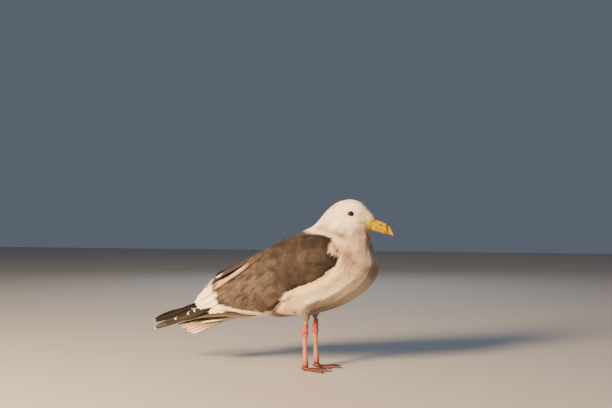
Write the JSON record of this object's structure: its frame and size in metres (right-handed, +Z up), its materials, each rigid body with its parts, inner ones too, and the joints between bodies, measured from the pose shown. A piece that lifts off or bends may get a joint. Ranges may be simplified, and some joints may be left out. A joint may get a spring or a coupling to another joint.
{
  "type": "standing seagull model",
  "caption": "Life-size model of a grey-backed white gull with pink legs and a yellow bill, standing at rest with its wings folded.",
  "frame": {"origin": "centre of the bird's box, on the floor under its soles", "axes": "+X the way the bird faces, +Y its left side, +Z up"},
  "size_m": [0.5744, 0.158, 0.3799],
  "materials": {
    "body_plumage": "matte",
    "wing_plumage": "matte",
    "wing_tip_plumage": "matte",
    "tail_plumage": "matte",
    "bill": "satin",
    "eye": "gloss",
    "leg_skin": "satin",
    "claw": "satin"
  },
  "bodies": {
    "root": {"head": "body_plumage", "neck": "body_plumage", "trunk": "body_plumage", "rump": "tail_plumage", "eye_right": "eye", "eye_left": "eye", "bill_upper": "bill", "bill_lower": "bill", "wing_shoulder_right": "wing_plumage", "wing_coverts_right": "wing_plumage", "wing_tertials_right": "wing_plumage", "primary_right_6": "wing_tip_plumage", "primary_right_7": "wing_tip_plumage", "primary_right_8": "wing_tip_plumage", "primary_right_9": "wing_tip_plumage", "primary_right_10": "wing_tip_plumage", "rectrix_right_1": "tail_plumage", "rectrix_right_2": "tail_plumage", "rectrix_right_3": "tail_plumage", "rectrix_right_4": "tail_plumage", "rectrix_right_5": "tail_plumage", "rectrix_right_6": "tail_plumage", "thigh_right": "body_plumage", "shank_right": "leg_skin", "tarsus_right": "leg_skin", "foot_right": "leg_skin", "claw_inner_right": "claw", "claw_middle_right": "claw", "claw_outer_right": "claw", "wing_shoulder_left": "wing_plumage", "wing_coverts_left": "wing_plumage", "wing_tertials_left": "wing_plumage", "primary_left_6": "wing_tip_plumage", "primary_left_7": "wing_tip_plumage", "primary_left_8": "wing_tip_plumage", "primary_left_9": "wing_tip_plumage", "primary_left_10": "wing_tip_plumage", "rectrix_left_1": "tail_plumage", "rectrix_left_2": "tail_plumage", "rectrix_left_3": "tail_plumage", "rectrix_left_4": "tail_plumage", "rectrix_left_5": "tail_plumage", "rectrix_left_6": "tail_plumage", "thigh_left": "body_plumage", "shank_left": "leg_skin", "tarsus_left": "leg_skin", "foot_left": "leg_skin", "claw_inner_left": "claw", "claw_middle_left": "claw", "claw_outer_left": "claw"}
  },
  "joints": []
}
